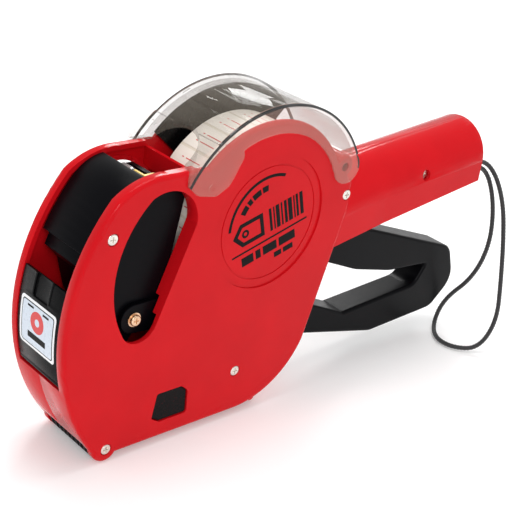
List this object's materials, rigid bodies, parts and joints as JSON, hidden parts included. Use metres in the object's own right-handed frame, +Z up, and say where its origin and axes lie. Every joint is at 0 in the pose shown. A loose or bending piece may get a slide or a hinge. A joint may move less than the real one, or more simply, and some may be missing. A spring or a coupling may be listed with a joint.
{
  "type": "price labeling gun",
  "caption": "Hand-held price labeling gun: red two-part casing, smoke-clear roll cover, black squeeze lever and swinging print head, application roller and wrist strap.",
  "frame": {"origin": "middle of the standing foot's underside, on the parting plane between the casing halves", "axes": "+Z up, +X from the nose towards the handle, -Y the gun's left side"},
  "size_m": [0.2382, 0.0708, 0.1358],
  "materials": {
    "red_casing": "satin-gloss injection moulded ABS, bright red",
    "black_moulding": "fine-textured black moulding",
    "black_lever": "smooth black moulded lever, slightly glossy edges",
    "white_moulding": "natural white acetal",
    "clear_cover": "smoke-tinted clear polycarbonate, polished",
    "clear_lens": "clear acrylic",
    "label_paper": "off-white coated paper label roll with paired red marks",
    "core_board": "grey-brown cardboard",
    "plated_screw": "nickel-plated steel screws",
    "brass_screw": "brass-coloured screws with washers",
    "steel": "bright steel",
    "band_rubber": "moulded rubber number bands",
    "yellow_pointer": "yellow pointer",
    "sticker_film": "pale blue-grey film label with a white border",
    "ink_felt": "ink-soaked foam roller",
    "roller_rubber": "soft black rubber discs",
    "strap_cord": "braided black polyester cord"
  },
  "bodies": {
    "casing": {"left_casing": "red_casing", "right_casing": "red_casing", "casing_screws": "plated_screw", "roll_holder_left": "black_moulding", "roll_holder_right": "black_moulding", "roll_guide": "black_moulding", "label_plate": "steel", "application_shaft": "steel", "feed_shaft": "steel", "guide_shaft": "steel", "latch_springs": "steel", "return_spring": "steel", "wrist_strap": "strap_cord", "strap_ferrule": "steel"},
    "lever": {"trigger_lever": "black_lever", "yoke_arm_left": "black_moulding", "yoke_arm_right": "black_moulding", "yoke_screws": "brass_screw", "head_frame": "black_moulding", "head_cover": "black_moulding", "head_window": "clear_lens", "number_bands": "band_rubber", "band_wheels": "white_moulding", "band_anvil": "steel"},
    "selector_slide": {"digit_pointer": "yellow_pointer"},
    "selector": {"selector_shaft": "steel", "selector_knob": "black_moulding"},
    "roll": {"label_roll": "label_paper", "roll_core": "core_board"},
    "roll_cover": {"label_cover": "clear_cover"},
    "front_flap": {"front_cover": "black_moulding", "front_sticker": "sticker_film"},
    "base_flap": {"base_cover": "black_moulding"},
    "ink_arm": {"ink_holder": "black_moulding", "ink_axle": "steel"},
    "ink_wheel": {"ink_roller": "ink_felt", "ink_core": "white_moulding"},
    "applicator": {"application_roller": "roller_rubber"},
    "feeder": {"feed_wheel": "white_moulding"},
    "guide": {"guide_roller": "white_moulding"},
    "latch_left": {"latch_button_left": "black_moulding"},
    "latch_right": {"latch_button_right": "black_moulding"}
  },
  "joints": [
    {"name": "lever_squeeze", "type": "hinge", "parent": "casing", "child": "lever", "pos_m": [0.022, 0, 0.0556], "axis": [0, -1, 0], "range_deg": [0, 16], "stiffness_Nm_per_rad": 0.8, "springref_deg": -28.65, "deforming": ["return_spring"]},
    {"name": "selector_pull", "type": "slide", "parent": "lever", "child": "selector_slide", "axis": [0, 1, 0], "range_m": [0, 0.0126]},
    {"name": "selector_turn", "type": "hinge", "parent": "selector_slide", "child": "selector", "pos_m": [-0.03, 0, 0.091], "axis": [0, 1, 0], "continuous": true},
    {"name": "roll_turn", "type": "hinge", "parent": "casing", "child": "roll", "pos_m": [0.03, 0, 0.0866], "axis": [0, 1, 0], "continuous": true},
    {"name": "cover_open", "type": "hinge", "parent": "casing", "child": "roll_cover", "pos_m": [0.0682, 0, 0.1041], "axis": [0, 1, 0], "range_deg": [0, 95]},
    {"name": "front_flap_open", "type": "hinge", "parent": "casing", "child": "front_flap", "pos_m": [-0.05867, 0, 0.03786], "axis": [0, -1, 0], "range_deg": [0, 95]},
    {"name": "base_flap_open", "type": "hinge", "parent": "casing", "child": "base_flap", "pos_m": [0.035, 0, 0.0048], "axis": [0, -1, 0], "range_deg": [0, 60]},
    {"name": "ink_swing", "type": "hinge", "parent": "casing", "child": "ink_arm", "pos_m": [-0.055, 0, 0.044], "axis": [0, 1, 0], "range_deg": [0, 34]},
    {"name": "ink_wheel_turn", "type": "hinge", "parent": "ink_arm", "child": "ink_wheel", "pos_m": [-0.04272, 0, 0.03648], "axis": [0, 1, 0], "continuous": true},
    {"name": "applicator_turn", "type": "hinge", "parent": "casing", "child": "applicator", "pos_m": [-0.04, 0, 0.0056], "axis": [0, 1, 0], "continuous": true},
    {"name": "feed_turn", "type": "hinge", "parent": "casing", "child": "feeder", "pos_m": [0.0036, 0, 0.0215], "axis": [0, 1, 0], "continuous": true},
    {"name": "guide_turn", "type": "hinge", "parent": "casing", "child": "guide", "pos_m": [0.042, 0, 0.0165], "axis": [0, 1, 0], "continuous": true},
    {"name": "latch_left_press", "type": "slide", "parent": "casing", "child": "latch_left", "axis": [0, 1, 0], "range_m": [0, 0.0012], "stiffness_N_per_m": 300, "springref_m": -0.001},
    {"name": "latch_right_press", "type": "slide", "parent": "casing", "child": "latch_right", "axis": [0, -1, 0], "range_m": [0, 0.0012], "stiffness_N_per_m": 300, "springref_m": -0.001}
  ],
  "couplings": [
    {"joint": "ink_swing", "follows": "lever_squeeze", "ratio": 2.125}
  ]
}
